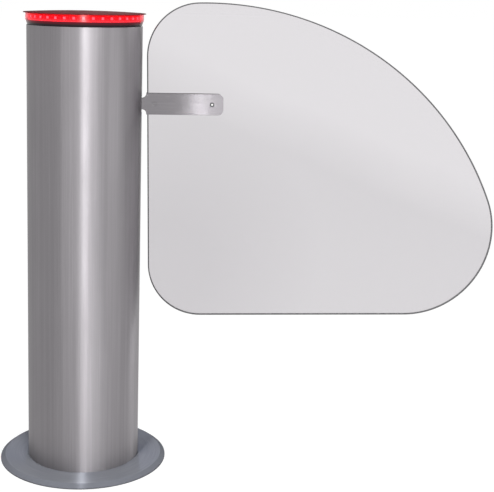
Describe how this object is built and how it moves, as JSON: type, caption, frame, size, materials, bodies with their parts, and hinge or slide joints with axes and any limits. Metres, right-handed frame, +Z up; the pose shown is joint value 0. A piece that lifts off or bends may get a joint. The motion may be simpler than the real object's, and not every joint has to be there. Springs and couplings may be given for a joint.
{
  "type": "swing gate turnstile",
  "caption": "Round brushed-steel column with a lit red ring on top, and a clear rounded wing on an arm that swings through a quarter turn from a slot in the column.",
  "frame": {"origin": "on the floor at the column's axis, the middle of the anchor circle", "axes": "+X along the closed wing, +Y the way it opens, +Z up"},
  "size_m": [1.1204, 0.376, 1.036],
  "materials": {
    "flange_steel": "brushed round the ring, slightly blue",
    "galvanised": "zinc plated",
    "tube_steel": "brushed along the tube",
    "motor_paint": "satin black paint",
    "gear_case": "cast, satin",
    "black_trim": "gloss black, turned",
    "white_core": "matt white",
    "lit_lamp": "lit",
    "red_lens": "clear red, lit from behind",
    "dark_cap": "dark brown, satin",
    "bright_steel": "turned",
    "arm_steel": "brushed along the strap",
    "gasket": "matt black",
    "shield_black": "satin black paint",
    "clear_sheet": "clear, polished edge"
  },
  "bodies": {
    "column": {"floor_flange": "flange_steel", "base_plate": "galvanised", "column_tube": "tube_steel", "lower_pillars": "galvanised", "motor_plate": "galvanised", "motor": "motor_paint", "gearbox": "gear_case", "upper_pillars": "galvanised", "bearing_plate": "galvanised", "bearing_housing": "gear_case", "lamp_seat": "black_trim", "led_drum": "white_core", "led_strip": "white_core", "led_chips": "lit_lamp", "lens_ring": "red_lens", "top_cap": "dark_cap"},
    "wing": {"drive_shaft": "bright_steel", "hub": "bright_steel", "slot_shield": "shield_black", "arm_plate_front": "arm_steel", "arm_plate_back": "arm_steel", "gasket_front": "gasket", "gasket_back": "gasket", "panel": "clear_sheet"}
  },
  "joints": [
    {"name": "wing_swing", "type": "hinge", "parent": "column", "child": "wing", "pos_m": [0, 0, 0.8145], "axis": [0, 0, 1], "range_deg": [0, 90]}
  ]
}
